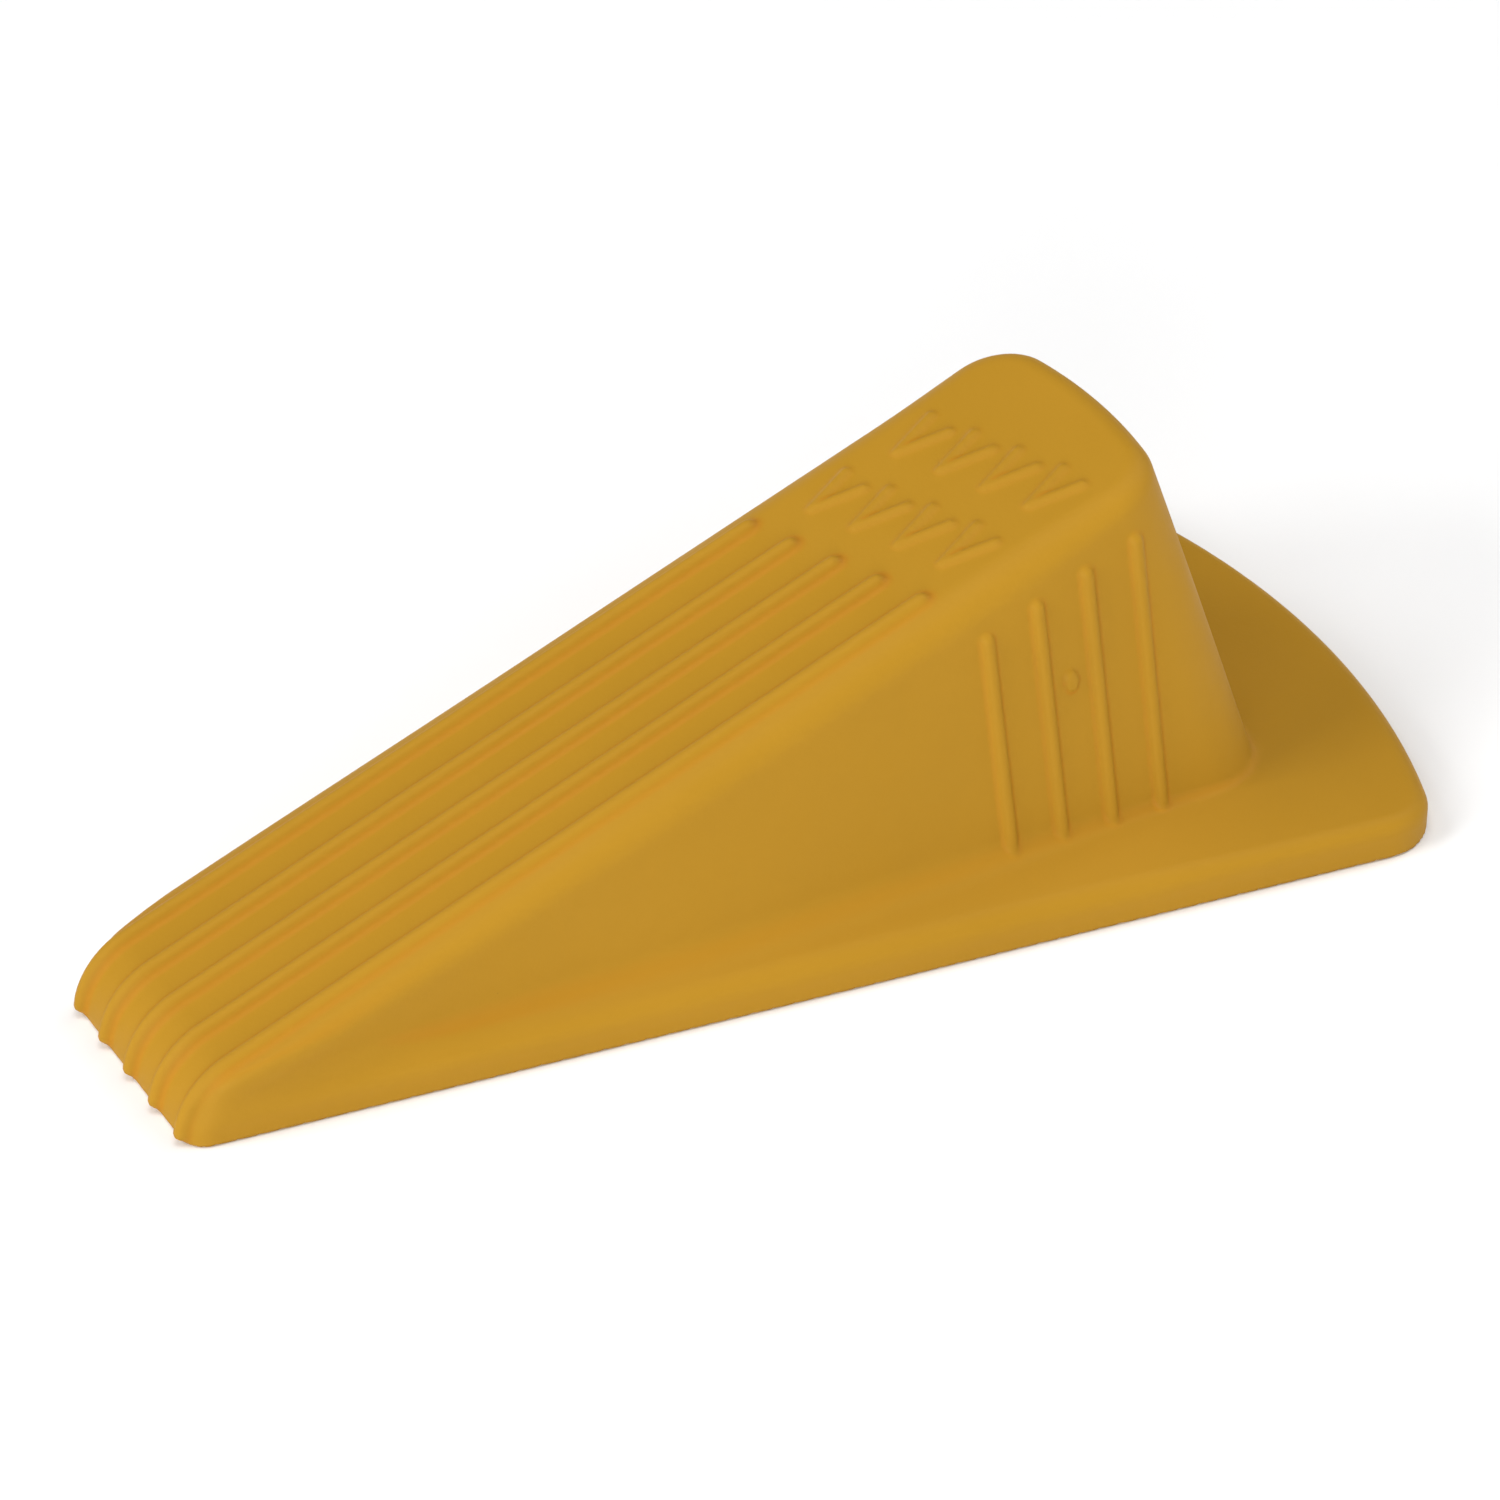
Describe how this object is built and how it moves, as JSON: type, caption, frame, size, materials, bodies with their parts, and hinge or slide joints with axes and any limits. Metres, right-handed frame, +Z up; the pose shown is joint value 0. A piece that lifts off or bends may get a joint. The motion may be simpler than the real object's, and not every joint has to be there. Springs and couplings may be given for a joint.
{
  "type": "door wedge",
  "caption": "One-piece moulded rubber door wedge with a ribbed ramp, ribbed sides and a flat foot that flares out beside and behind the block",
  "frame": {"origin": "middle of the flat underside's bounding rectangle, on the floor", "axes": "+Z up; the nose points to -Y and the heel to +Y; width along X"},
  "size_m": [0.0888, 0.1714, 0.0507],
  "materials": {
    "rubber": "satin"
  },
  "bodies": {
    "root": {"wedge_body": "rubber"}
  },
  "joints": []
}
